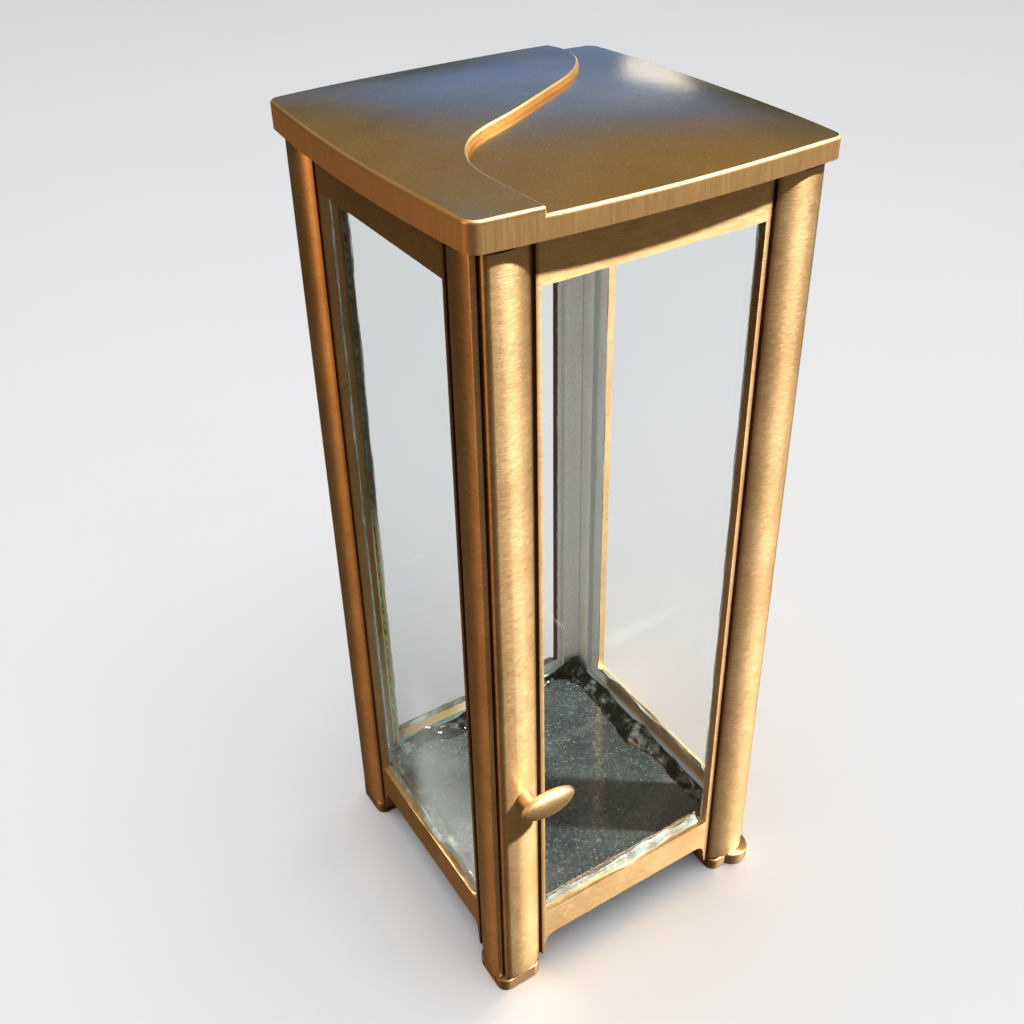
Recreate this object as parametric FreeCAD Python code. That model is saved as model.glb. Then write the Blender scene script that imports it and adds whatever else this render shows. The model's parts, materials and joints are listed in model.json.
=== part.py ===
"""Glazed bronze lantern: three fixed frames, a hinged door, a two-level domed roof and four feet.

Millimetres, +Z up. The lantern is drawn about its own vertical axis, with the door facing -Y and
its hinge at the +X side. export_node then moves every piece along Y, so that the origin is the
middle of the underside of the whole object, knob included.
"""
import FreeCAD
import Part
import math
import os

V = FreeCAD.Vector
UP = V(0, 0, 1)

# Heights above the ground
FOOT_TOP = 6.5
DOOR_BOTTOM = 7.7
FLOOR_TOP = 27.0
FLOOR_THICK = 4.0
RAIL_BOTTOM = 19.5
OPENING_BOTTOM = 36.0
OPENING_TOP = 334.0
DOOR_TOP = 350.0
ROOF_BOTTOM = 352.0

# Frame sections, measured out from the lantern's axis. The back window is wider than the others
OPENING_HALF = 45.0
BACK_OPENING_HALF = 49.0
INNER_FACE = 63.2
OUTER_FACE = 67.0
CROWN_FACE = 70.4
GROOVE_IN = 46.9
GROOVE_OUT = 48.7
GROOVE_DEPTH = 1.2
STILE_RADIUS = 20.0
LEG_TOP_IN = 45.0
LEG_FOOT_IN = 46.2
HAUNCH = 5.0

# Stile ends at the corners
END_RADIUS = 4.9
END_X = 64.4
END_Y = 64.8
MITRE_GAP = 0.1
DOOR_FREE_END = 66.4
SIDE_FRONT_END = 66.3
DOOR_REBATE_X = 62.7
DOOR_REBATE_Y = 67.2
FREE_END_ROUND = 2.6
HINGE_SIDE_END = 60.5
SOCKET_RADIUS = 5.6

# Roof
ROOF_CORNER = 72.0
ROOF_MIDDLE = 75.6
ROOF_CORNER_ROUND = 5.0
ROOF_LOW_EDGE = 359.6
ROOF_STEP = 2.6
ROOF_RISE = 7.0
ROOF_EDGE_ROUND = 1.2
ROOF_STEP_ROUND = 1.15
ROOF_SKIN = 3.0
ROOF_CAVITY_HALF = 61.0
ROOF_LUG_GAP = 1.0
DOME_HALF = 75.0
DOME_REACH = 82.0
DOME_ROOM = 30.0
STEP_LINE = [(-46.5, -78), (-48.5, -64), (-50.5, -49), (-49, -33), (-40, -20.5), (-22, -12),
             (0, 0), (19, 13), (34, 28), (45, 45), (50.5, 62), (50, 78)]

# Glass and its clear silicone
GLASS_THICK = 3.0
GLASS_HALF = 51.5
GLASS_BOTTOM = 30.0
GLASS_TOP = 340.0
BEAD_WIDTH = 1.5
BEAD_DEPTH = 2.0
FLOOR_BEAD_WIDTH = 4.0
FLOOR_BEAD_HEIGHT = 3.2
FLOOR_BEAD_FRONT = 57.0
FLOOR_BEAD_GAP = 0.1
FLOOR_SIDE_GAP = 0.2
FLOOR_FRONT_GAP = 0.8

# Feet and the blocks above them
FOOT_OUTER = 69.6
FOOT_SIZE = 21.0
FOOT_ROUND = 4.5
FOOT_EDGE = 0.7
HINGE_FOOT_RADIUS = 8.2
BLOCK_SIZE = 14.0
BLOCK_FRONT = 59.0
FOOT_SCREW_IN = 56.0

# Hinge pins
PIN_RADIUS = 1.6
PIN_IN_DOOR = 11.0
PIN_IN_BODY = 5.0
RUNNING_GAP = 0.06
WASHER_OUTER = 3.8
WASHER_THICK = 1.1

# Knob and latch
KNOB_X = -57.0
KNOB_Z = 120.0
STEM_RADIUS = 3.3
STEM_START = 70.7
SPINDLE_RADIUS = 2.5
SPINDLE_END = 58.2
HEAD_OFFSET = 6.2
HEAD_MIDDLE = 78.2
HEAD_HALF_LENGTH = 12.2
HEAD_HALF_HEIGHT = 6.2
HEAD_HALF_DEPTH = 3.6
RIM_THICK = 1.2
RIM_PROUD = 0.3
CLIP_RADIUS = 3.6
CLIP_THICK = 0.8
CLIP_GAP = 0.1
CLIP_MOUTH_HALF = 1.2
CAM_FACE = 60.0
CAM_THICK = 1.8
CAM_REACH = 5.5
CAM_HALF_WIDTH = 2.0
CAM_HUB = 3.4
KEEPER_TIP = 61.0
KEEPER_FACE = 61.9
KEEPER_THICK = 1.5
KEEPER_HALF_HEIGHT = 6.0
KEEPER_LEG_TOP = 18.0
KEEPER_NOTCH = 2.0
KEEPER_DEPTH = 8.4
KEEPER_SCREW_IN = 5.3

# Brackets and screws
BRACKET_SIZE = 14.0
BRACKET_THICK = 3.0
BRACKET_DROP = 9.0
BRACKET_FRONT = 58.5
LUG_DEPTH = 7.0
SCREW_RADIUS = 1.5
SCREW_HEAD = 2.7
SCREW_HEAD_DEPTH = 1.8
HOLE_GAP = 0.05
WALL_HOLE_DEPTH = 4.5
WALL_SCREW_LENGTH = 7.0
WALL_SCREW_SHIFT = 1.5
BRACKET_SCREW_RISE = 3.2
ROOF_HOLE_DEPTH = 5.0
ROOF_SCREW_LENGTH = 7.5
ROOF_SCREW_SHIFT = 2.0
FOOT_SCREW_LENGTH = 11.0
FOOT_SCREW_SHIFT = 3.0
FOOT_HEAD_RECESS = 0.5
BLOCK_HOLE_TOP = 14.5
KEEPER_SCREW_LENGTH = 5.5
KEEPER_SCREW_DROP = 4.0
CAM_SCREW = {"length": 7.0, "radius": 0.95, "head": 3.1, "head_depth": 1.5}
CAM_HOLE_RADIUS = 1.0
CAM_HOLE_DEPTH = 8.0
RECESS_REACH = 0.55
RECESS_WIDTH = 0.22
RECESS_DEPTH = 0.6

# How far a cutting shape runs past what it cuts
PAST = 1.0

# The knob reaches further forward than the roof reaches back
KNOB_REACH = HEAD_MIDDLE + HEAD_HALF_DEPTH
SHIFT_Y = (KNOB_REACH - ROOF_MIDDLE) / 2

# Which way each wall faces, as a turn about Z from the door's place
TURN = {"door": 0, "right": 90, "back": 180, "left": -90}
CORNERS = {"front_left": (-1, -1), "back_left": (-1, 1), "back_right": (1, 1), "front_right": (1, -1)}


def box(x0, x1, y0, y1, z0, z1):
    """A box between two opposite corners, given in any order along each axis."""
    low = V(min(x0, x1), min(y0, y1), min(z0, z1))
    return Part.makeBox(abs(x1 - x0), abs(y1 - y0), abs(z1 - z0), low)


def rod(radius, length, base, axis=UP):
    return Part.makeCylinder(radius, length, base, axis)


def prism(edges, z0, z1):
    """A closed outline drawn at height zero, raised between two heights."""
    face = Part.Face(Part.Wire(edges))
    face.translate(V(0, 0, z0))
    return face.extrude(V(0, 0, z1 - z0))


def line(a, b):
    return Part.LineSegment(V(*a, 0), V(*b, 0)).toShape()


def arc(centre, radius, start, end):
    """An arc in the plane from one angle to another, in degrees."""
    angles = [math.radians(a) for a in (start, (start + end) / 2, end)]
    points = [V(centre[0] + radius * math.cos(a), centre[1] + radius * math.sin(a), 0) for a in angles]
    return Part.Arc(*points).toShape()


def turned(shape, wall):
    """A piece drawn at the door's place, turned about Z to another wall."""
    shape.rotate(V(0, 0, 0), UP, TURN[wall])
    return shape


def rounded_pad(x0, x1, y0, y1, z0, z1, radius):
    block = box(x0, x1, y0, y1, z0, z1)
    uprights = [e for e in block.Edges if abs(e.Vertexes[0].Z - e.Vertexes[1].Z) > 1e-6]
    return block.makeFillet(radius, uprights)


def level_edges(shape, z):
    """The edges that lie flat at one height."""
    return [e for e in shape.Edges
            if abs(e.BoundBox.ZMin - z) < 1e-4 and abs(e.BoundBox.ZMax - z) < 1e-4]


# ---------------------------------------------------------------- frames

def stile(z0, z1):
    """The right-hand stile of a wall: lip, groove, shallow round face and rounded corner end."""
    crown_y = STILE_RADIUS - CROWN_FACE
    rise = END_Y + crown_y
    crown_x = END_X - math.sqrt((STILE_RADIUS - END_RADIUS) ** 2 - rise ** 2)
    start_angle = -180 + math.degrees(math.asin((OUTER_FACE + crown_y) / STILE_RADIUS))
    start_x = crown_x + STILE_RADIUS * math.cos(math.radians(start_angle))
    tangent = math.degrees(math.atan2(-rise, END_X - crown_x))
    drop = END_Y - INNER_FACE
    end_x = END_X + math.sqrt(END_RADIUS ** 2 - drop ** 2)
    groove_y = GROOVE_DEPTH - OUTER_FACE
    edges = [
        line((OPENING_HALF, -INNER_FACE), (OPENING_HALF, -OUTER_FACE)),
        line((OPENING_HALF, -OUTER_FACE), (GROOVE_IN, -OUTER_FACE)),
        line((GROOVE_IN, -OUTER_FACE), (GROOVE_IN, groove_y)),
        line((GROOVE_IN, groove_y), (start_x, groove_y)),
        line((start_x, groove_y), (start_x, -OUTER_FACE)),
        arc((crown_x, crown_y), STILE_RADIUS, start_angle, tangent),
        arc((END_X, -END_Y), END_RADIUS, tangent, math.degrees(math.asin(drop / END_RADIUS))),
        line((end_x, -INNER_FACE), (OPENING_HALF, -INNER_FACE)),
    ]
    return prism(edges, z0, z1)


def arch_cutter(z0):
    """The space under the bottom rail, between the legs, with rounded haunches."""
    top_in = LEG_TOP_IN - HAUNCH
    side_z = RAIL_BOTTOM - HAUNCH
    bow = HAUNCH * math.sqrt(0.5)
    below = z0 - PAST

    def at(x, z):
        return V(x, -CROWN_FACE - PAST, z)

    right = Part.Arc(at(LEG_TOP_IN, side_z), at(top_in + bow, side_z + bow), at(top_in, RAIL_BOTTOM))
    left = Part.Arc(at(-top_in, RAIL_BOTTOM), at(-top_in - bow, side_z + bow), at(-LEG_TOP_IN, side_z))
    edges = [
        Part.LineSegment(at(-LEG_FOOT_IN, below), at(LEG_FOOT_IN, below)).toShape(),
        Part.LineSegment(at(LEG_FOOT_IN, below), at(LEG_TOP_IN, side_z)).toShape(),
        right.toShape(),
        Part.LineSegment(at(top_in, RAIL_BOTTOM), at(-top_in, RAIL_BOTTOM)).toShape(),
        left.toShape(),
        Part.LineSegment(at(-LEG_TOP_IN, side_z), at(-LEG_FOOT_IN, below)).toShape(),
    ]
    return Part.Face(Part.Wire(edges)).extrude(V(0, CROWN_FACE - INNER_FACE + 2 * PAST, 0))


def blank_frame(z0, z1, opening_half=OPENING_HALF):
    """A whole wall before its ends are cut: two stiles, two rails, one opening, one arch."""
    right = stile(z0, z1)
    left = right.mirror(V(0, 0, 0), V(1, 0, 0))
    plate = box(-GROOVE_IN, GROOVE_IN, -OUTER_FACE, -INNER_FACE, z0, z1)
    frame = plate.fuse([left, right])
    opening = box(-opening_half, opening_half, -CROWN_FACE, -INNER_FACE + PAST, OPENING_BOTTOM, OPENING_TOP)
    return frame.cut([opening, arch_cutter(z0)]).removeSplitter()


def mitre_cutter(side, z0, z1):
    """Removes what lies beyond the diagonal of a corner, and half the joint's gap."""
    reach = CROWN_FACE + 10
    start = -MITRE_GAP
    edges = [line((start, 0), (reach + start, -reach)),
             line((reach + start, -reach), (reach + start, 0)),
             line((reach + start, 0), (start, 0))]
    cutter = prism(edges, z0 - PAST, z1 + PAST)
    return cutter if side > 0 else cutter.mirror(V(0, 0, 0), V(1, 0, 0))


def wall_screw_hole(x, z):
    """A blind threaded hole in the inner face of a stile."""
    return rod(SCREW_RADIUS + HOLE_GAP, WALL_HOLE_DEPTH, V(x, -INNER_FACE, z), V(0, -1, 0))


def bracket_screw_z():
    return ROOF_BOTTOM - BRACKET_DROP + BRACKET_SCREW_RISE


def block_screw_z():
    return (FOOT_TOP + FLOOR_TOP - FLOOR_THICK) / 2


def wall_screw_x(side, front_end):
    """Along a wall, where the corner pieces are screwed to its stile."""
    middle = BRACKET_FRONT - BRACKET_SIZE / 2
    return side * (middle if front_end else middle + WALL_SCREW_SHIFT)


def side_frame(wall):
    """A left or right wall: mitred to the back wall, and open to the door at the front."""
    front = 1 if wall == "left" else -1
    frame = blank_frame(FOOT_TOP, ROOF_BOTTOM)
    cutters = [mitre_cutter(-front, FOOT_TOP, ROOF_BOTTOM)]
    low, high = FOOT_TOP - PAST, ROOF_BOTTOM + PAST
    far = CROWN_FACE + PAST
    if wall == "left":
        cutters.append(box(SIDE_FRONT_END, far, -far, 0, low, high))
        cutters.append(box(DOOR_REBATE_X, far, -DOOR_REBATE_Y, 0, low, high))
        cutters.append(wall_screw_hole(KEEPER_FACE - KEEPER_SCREW_IN, keeper_screw_z()))
    else:
        cutters.append(box(-HINGE_SIDE_END, -far, -far, 0, low, high))
        cutters.append(rod(SOCKET_RADIUS, high - low, V(-END_Y, -END_X, low)))
    for side in (-1, 1):
        x = wall_screw_x(side, side == front)
        cutters += [wall_screw_hole(x, bracket_screw_z()), wall_screw_hole(x, block_screw_z())]
    return turned(frame.cut(cutters), wall)


def back_frame():
    frame = blank_frame(FOOT_TOP, ROOF_BOTTOM, BACK_OPENING_HALF)
    cutters = []
    for side in (-1, 1):
        x = wall_screw_x(side, False)
        cutters.append(mitre_cutter(side, FOOT_TOP, ROOF_BOTTOM))
        cutters += [wall_screw_hole(x, bracket_screw_z()), wall_screw_hole(x, block_screw_z())]
    return turned(frame.cut(cutters), "back")


def door_frame():
    """The door: a free end with a rounded edge, and a round heel about the hinge axis."""
    frame = blank_frame(DOOR_BOTTOM, DOOR_TOP)
    far = CROWN_FACE + PAST
    frame = frame.cut(box(-DOOR_FREE_END, -far, -far, 0, DOOR_BOTTOM - PAST, DOOR_TOP + PAST))
    corner = [e for e in frame.Edges
              if abs(e.BoundBox.XMin + DOOR_FREE_END) < 1e-3 and abs(e.BoundBox.XMax + DOOR_FREE_END) < 1e-3
              and e.BoundBox.YMax < -OUTER_FACE and e.BoundBox.ZLength > 100]
    frame = frame.makeFillet(FREE_END_ROUND, corner)
    bore = PIN_RADIUS + RUNNING_GAP
    depth = PIN_IN_DOOR + PAST
    cutters = [rod(bore, depth, V(END_X, -END_Y, DOOR_BOTTOM)),
               rod(bore, depth, V(END_X, -END_Y, DOOR_TOP - depth)),
               rod(SPINDLE_RADIUS + RUNNING_GAP, STEM_START - SPINDLE_END,
                    V(KNOB_X, -SPINDLE_END, KNOB_Z), V(0, -1, 0))]
    return frame.cut(cutters)


# ---------------------------------------------------------------- glass and silicone

def pane(wall):
    return turned(box(-GLASS_HALF, GLASS_HALF, -INNER_FACE, -INNER_FACE + GLASS_THICK,
                      GLASS_BOTTOM, GLASS_TOP), wall)


def pane_bead(wall):
    """The clear bead round a pane's edge, against the inside of its frame."""
    outer = box(-GLASS_HALF - BEAD_WIDTH, GLASS_HALF + BEAD_WIDTH, -INNER_FACE, -INNER_FACE + BEAD_DEPTH,
                GLASS_BOTTOM - BEAD_WIDTH, GLASS_TOP + BEAD_WIDTH)
    inner = box(-GLASS_HALF, GLASS_HALF, -INNER_FACE - PAST, -INNER_FACE + BEAD_DEPTH + PAST,
                GLASS_BOTTOM, GLASS_TOP)
    return turned(outer.cut(inner), wall)


def floor_bead():
    """The clear bead where the floor meets the three fixed panes."""
    outside = INNER_FACE - GLASS_THICK - FLOOR_BEAD_GAP
    inside = outside - FLOOR_BEAD_WIDTH
    top = FLOOR_TOP + FLOOR_BEAD_HEIGHT
    ring = box(-outside, outside, -FLOOR_BEAD_FRONT, outside, FLOOR_TOP, top)
    return ring.cut(box(-inside, inside, -FLOOR_BEAD_FRONT - PAST, inside, FLOOR_TOP - PAST, top + PAST))


def base_plate():
    """The floor, with its front right corner cut round to clear the door's heel."""
    side = INNER_FACE - FLOOR_SIDE_GAP
    front = INNER_FACE - FLOOR_FRONT_GAP
    plate = box(-side, side, -front, side, FLOOR_TOP - FLOOR_THICK, FLOOR_TOP)
    return plate.cut(rod(SOCKET_RADIUS, FLOOR_TOP, V(END_X, -END_Y, 0)))


# ---------------------------------------------------------------- roof

def dome_solid(edge_height):
    """Everything under a shallow pillow-shaped dome that is edge_height high along its four sides."""
    end = 1 - (DOME_REACH / DOME_HALF) ** 2
    middle = 1 + (DOME_REACH / DOME_HALF) ** 2
    weight = (end, middle, end)
    place = (-DOME_REACH, 0, DOME_REACH)
    surface = Part.BezierSurface()
    surface.increase(2, 2)
    for i in range(3):
        for j in range(3):
            z = edge_height + ROOF_RISE * weight[i] * weight[j]
            surface.setPole(i + 1, j + 1, V(place[i], place[j], z))
    return surface.toShape().extrude(V(0, 0, -2 * DOME_ROOM))


def roof_outline(z0, z1):
    """A square with gently bowed sides and rounded corners."""
    corners = [(-ROOF_CORNER, -ROOF_CORNER), (ROOF_CORNER, -ROOF_CORNER),
               (ROOF_CORNER, ROOF_CORNER), (-ROOF_CORNER, ROOF_CORNER)]
    middles = [(0, -ROOF_MIDDLE), (ROOF_MIDDLE, 0), (0, ROOF_MIDDLE), (-ROOF_MIDDLE, 0)]
    edges = []
    for i in range(4):
        edges.append(Part.Arc(V(*corners[i], 0), V(*middles[i], 0), V(*corners[(i + 1) % 4], 0)).toShape())
    block = prism(edges, z0, z1)
    uprights = [e for e in block.Edges if e.BoundBox.ZLength > 1 and e.BoundBox.XLength < 1e-3]
    return block.makeFillet(ROOF_CORNER_ROUND, uprights)


def raised_side():
    """The region left of and behind the S-shaped step."""
    curve = Part.BSplineCurve()
    curve.interpolate([V(x, y, 0) for x, y in STEP_LINE])
    start, end = STEP_LINE[0], STEP_LINE[-1]
    far = DOME_REACH + PAST
    edges = [curve.toShape(), line(end, (end[0], far)), line((end[0], far), (-far, far)),
             line((-far, far), (-far, -far)), line((-far, -far), (start[0], -far)),
             line((start[0], -far), start)]
    return prism(edges, ROOF_BOTTOM - PAST, ROOF_LOW_EDGE + DOME_ROOM)


def roof_level(edge_height):
    """The whole roof at one height, with the edge between fascia and dome rounded."""
    block = roof_outline(ROOF_BOTTOM, ROOF_LOW_EDGE + DOME_ROOM).common(dome_solid(edge_height))
    near = 1.5
    rim = [e for e in block.Edges if e.BoundBox.ZMin > edge_height - near and e.BoundBox.ZLength < near]
    return block.makeFillet(ROOF_EDGE_ROUND, rim)


def roof_cap():
    """The roof: two levels of shallow dome that meet in an S-shaped step, hollow underneath."""
    high = roof_level(ROOF_LOW_EDGE + ROOF_STEP).common(raised_side())
    long = 60
    step = [e for e in high.Edges if e.BoundBox.XLength > long and e.BoundBox.ZMin > ROOF_LOW_EDGE - ROOF_STEP]
    high = high.makeFillet(ROOF_STEP_ROUND, [e for e in step if e.BoundBox.YLength > long])
    roof = roof_level(ROOF_LOW_EDGE).fuse(high).removeSplitter()
    half = ROOF_CAVITY_HALF
    cavity = box(-half, half, -half, half, ROOF_BOTTOM - PAST, ROOF_LOW_EDGE + DOME_ROOM)
    cavity = cavity.common(dome_solid(ROOF_LOW_EDGE - ROOF_SKIN))
    lug_in = BRACKET_FRONT - BRACKET_SIZE - ROOF_LUG_GAP
    lugs = [box(sx * (half + PAST), sx * lug_in, sy * (half + PAST), sy * lug_in,
                ROOF_BOTTOM, ROOF_BOTTOM + LUG_DEPTH) for sx, sy in CORNERS.values()]
    cavity = cavity.cut(lugs)
    holes = [rod(SCREW_RADIUS + HOLE_GAP, ROOF_HOLE_DEPTH, V(x, y, ROOF_BOTTOM))
             for x, y in roof_screw_places()]
    pin_hole = rod(PIN_RADIUS, PIN_IN_BODY, V(END_X, -END_Y, ROOF_BOTTOM))
    return roof.cut([cavity, pin_hole] + holes)


def roof_screw_places():
    inset = BRACKET_FRONT - BRACKET_SIZE / 2 - ROOF_SCREW_SHIFT
    return [(sx * inset, sy * inset) for sx, sy in CORNERS.values()]


# ---------------------------------------------------------------- corner pieces

def corner_walls(sx, sy):
    """The fixed walls that meet at a corner, and which end of each wall it is."""
    walls = {(-1, -1): [("left", 1)], (-1, 1): [("left", -1), ("back", 1)],
             (1, 1): [("right", 1), ("back", -1)], (1, -1): [("right", -1)]}
    return walls[(sx, sy)]


def upper_brackets():
    """An angle under each roof lug: a level leg for the roof screw, upright legs for the walls."""
    brackets = []
    for sx, sy in CORNERS.values():
        outer_y = INNER_FACE if sy > 0 else BRACKET_FRONT
        inner = BRACKET_FRONT - BRACKET_SIZE
        level = box(sx * inner, sx * INNER_FACE, sy * inner, sy * outer_y,
                    ROOF_BOTTOM - BRACKET_THICK, ROOF_BOTTOM)
        low = ROOF_BOTTOM - BRACKET_DROP
        bracket = level.fuse(box(sx * (INNER_FACE - BRACKET_THICK), sx * INNER_FACE,
                                 sy * inner, sy * outer_y, low, ROOF_BOTTOM - BRACKET_THICK))
        if sy > 0:
            bracket = bracket.fuse(box(sx * inner, sx * (INNER_FACE - BRACKET_THICK),
                                       INNER_FACE - BRACKET_THICK, INNER_FACE,
                                       low, ROOF_BOTTOM - BRACKET_THICK))
        holes = [bracket_hole(wall, side) for wall, side in corner_walls(sx, sy)]
        brackets.append(bracket.removeSplitter().cut(holes))
    drill = [rod(SCREW_RADIUS + HOLE_GAP, BRACKET_DROP, V(x, y, ROOF_BOTTOM - BRACKET_DROP + PAST))
             for x, y in roof_screw_places()]
    return Part.makeCompound([b.cut(drill) for b in brackets])


def bracket_hole(wall, side):
    x = wall_screw_x(side, is_front_end(wall, side))
    start = V(x, -INNER_FACE + BRACKET_THICK + PAST, bracket_screw_z())
    return turned(rod(SCREW_RADIUS + HOLE_GAP, BRACKET_THICK + 2 * PAST, start, V(0, -1, 0)), wall)


def is_front_end(wall, side):
    return (wall, side) in (("left", 1), ("right", -1))


def lower_blocks():
    """A solid block above each foot, under the floor, screwed to the walls beside it."""
    blocks = []
    for sx, sy in CORNERS.values():
        outer_y = INNER_FACE if sy > 0 else BLOCK_FRONT
        block = box(sx * (INNER_FACE - BLOCK_SIZE), sx * INNER_FACE,
                    sy * (outer_y - BLOCK_SIZE), sy * outer_y, FOOT_TOP, FLOOR_TOP - FLOOR_THICK)
        base = foot_screw_base(sx, sy) + V(0, 0, FOOT_TOP - PAST)
        holes = [rod(SCREW_RADIUS + HOLE_GAP, BLOCK_HOLE_TOP - FOOT_TOP + PAST, base)]
        for wall, side in corner_walls(sx, sy):
            x = wall_screw_x(side, is_front_end(wall, side))
            start = V(x, -INNER_FACE + BLOCK_SIZE + PAST, block_screw_z())
            holes.append(turned(rod(SCREW_RADIUS + HOLE_GAP, BLOCK_SIZE + 2 * PAST, start, V(0, -1, 0)), wall))
            pocket = rod(SCREW_HEAD + HOLE_GAP, BLOCK_SIZE + PAST - BRACKET_THICK, start, V(0, -1, 0))
            holes.append(turned(pocket, wall))
        blocks.append(block.cut(holes))
    return Part.makeCompound(blocks)


def foot_screw_base(sx, sy):
    inset_y = FOOT_SCREW_IN if sy > 0 else FOOT_SCREW_IN - FOOT_SCREW_SHIFT
    return V(sx * FOOT_SCREW_IN, sy * inset_y, 0)


def foot(sx, sy):
    """A square pad with rounded corners; the hinge corner's pad also carries a round bearing."""
    outer = FOOT_OUTER
    inner = FOOT_OUTER - FOOT_SIZE
    pad = rounded_pad(sx * inner, sx * outer, sy * inner, sy * outer, 0, FOOT_TOP, FOOT_ROUND)
    if (sx, sy) == CORNERS["front_right"]:
        pad = pad.fuse(rod(HINGE_FOOT_RADIUS, FOOT_TOP, V(END_X, -END_Y, 0))).removeSplitter()
    pad = pad.makeFillet(FOOT_EDGE, level_edges(pad, FOOT_TOP) + level_edges(pad, 0))
    base = foot_screw_base(sx, sy)
    below = base - V(0, 0, PAST)
    cutters = [rod(SCREW_RADIUS + HOLE_GAP, FOOT_TOP + 2 * PAST, below),
               rod(SCREW_HEAD + HOLE_GAP, SCREW_HEAD_DEPTH + FOOT_HEAD_RECESS + PAST, below)]
    if (sx, sy) == CORNERS["front_right"]:
        cutters.append(rod(PIN_RADIUS, PIN_IN_BODY, V(END_X, -END_Y, FOOT_TOP - PIN_IN_BODY)))
    return pad.cut(cutters)


# ---------------------------------------------------------------- hinge, knob and latch

def lower_hinge_pin():
    return rod(PIN_RADIUS, PIN_IN_BODY + DOOR_BOTTOM - FOOT_TOP + PIN_IN_DOOR,
               V(END_X, -END_Y, FOOT_TOP - PIN_IN_BODY))


def upper_hinge_pin():
    return rod(PIN_RADIUS, PIN_IN_BODY + ROOF_BOTTOM - DOOR_TOP + PIN_IN_DOOR,
               V(END_X, -END_Y, DOOR_TOP - PIN_IN_DOOR))


def hinge_washer():
    base = V(END_X, -END_Y, FOOT_TOP)
    return rod(WASHER_OUTER, WASHER_THICK, base).cut(rod(PIN_RADIUS + HOLE_GAP, WASHER_THICK, base))


def knob():
    """An oval thumb-turn set off to one side of its round stem, cast with its spindle."""
    squeeze = FreeCAD.Matrix()
    squeeze.A11 = HEAD_HALF_LENGTH - RIM_PROUD
    squeeze.A22 = HEAD_HALF_DEPTH
    squeeze.A33 = HEAD_HALF_HEIGHT - RIM_PROUD
    pebble = Part.makeSphere(1.0).transformGeometry(squeeze)
    rim = Part.Face(Part.Wire(Part.Ellipse(V(0, 0, 0), HEAD_HALF_LENGTH, HEAD_HALF_HEIGHT).toShape()))
    rim.rotate(V(0, 0, 0), V(1, 0, 0), 90)
    rim.translate(V(0, RIM_THICK / 2, 0))
    rim = rim.extrude(V(0, -RIM_THICK, 0))
    head = pebble.fuse(rim)
    head.translate(V(KNOB_X + HEAD_OFFSET, -HEAD_MIDDLE, KNOB_Z))
    stem = rod(STEM_RADIUS, HEAD_MIDDLE - STEM_START, V(KNOB_X, -STEM_START, KNOB_Z), V(0, -1, 0))
    spindle = rod(SPINDLE_RADIUS, STEM_START - SPINDLE_END, V(KNOB_X, -SPINDLE_END, KNOB_Z), V(0, -1, 0))
    screw_hole = rod(CAM_HOLE_RADIUS, CAM_HOLE_DEPTH, V(KNOB_X, -SPINDLE_END, KNOB_Z), V(0, -1, 0))
    return head.fuse([stem, spindle]).removeSplitter().cut(screw_hole)


def knob_clip():
    """The open ring behind the stile that keeps the spindle from being pulled out."""
    base = V(KNOB_X, -INNER_FACE + CLIP_GAP + CLIP_THICK, KNOB_Z)
    ring = rod(CLIP_RADIUS, CLIP_THICK, base, V(0, -1, 0))
    hole = rod(SPINDLE_RADIUS + HOLE_GAP, CLIP_THICK, base, V(0, -1, 0))
    mouth = box(KNOB_X - CLIP_MOUTH_HALF, KNOB_X + CLIP_MOUTH_HALF, -INNER_FACE,
                -INNER_FACE + CLIP_GAP + CLIP_THICK + PAST, KNOB_Z, KNOB_Z + CLIP_RADIUS + PAST)
    return ring.cut([hole, mouth])


def latch_cam():
    """The flat cam on the spindle. It hangs down here, and points at the keeper when turned."""
    base = V(KNOB_X, -CAM_FACE + CAM_THICK, KNOB_Z)
    hub = rod(CAM_HUB, CAM_THICK, base, V(0, -1, 0))
    arm = box(KNOB_X - CAM_HALF_WIDTH, KNOB_X + CAM_HALF_WIDTH, -CAM_FACE, -CAM_FACE + CAM_THICK,
              KNOB_Z - CAM_REACH, KNOB_Z)
    hole = rod(SPINDLE_RADIUS, CAM_THICK, base, V(0, -1, 0))
    return hub.fuse(arm).removeSplitter().cut(hole)


def cam_screw():
    """Holds the cam against the end of the spindle."""
    return screw(V(KNOB_X, -SPINDLE_END, KNOB_Z), V(0, -1, 0), **CAM_SCREW)


def latch_keeper():
    """An angle on the left wall: its lip stands in front of the turned cam."""
    back = -KEEPER_FACE + KEEPER_THICK
    lip = box(-INNER_FACE, -KEEPER_TIP, -KEEPER_FACE, back,
              KNOB_Z - KEEPER_HALF_HEIGHT, KNOB_Z + KEEPER_LEG_TOP)
    leg = box(-INNER_FACE, -INNER_FACE + KEEPER_THICK, -KEEPER_FACE, -KEEPER_FACE + KEEPER_DEPTH,
              KNOB_Z + KEEPER_HALF_HEIGHT + KEEPER_NOTCH, KNOB_Z + KEEPER_LEG_TOP)
    start = V(-INNER_FACE - PAST, KEEPER_SCREW_IN - KEEPER_FACE, keeper_screw_z())
    hole = rod(SCREW_RADIUS + HOLE_GAP, KEEPER_THICK + 2 * PAST, start, V(1, 0, 0))
    return lip.fuse(leg).removeSplitter().cut(hole)


def keeper_screw_z():
    return KNOB_Z + KEEPER_LEG_TOP - KEEPER_SCREW_DROP


# ---------------------------------------------------------------- screws

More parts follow.
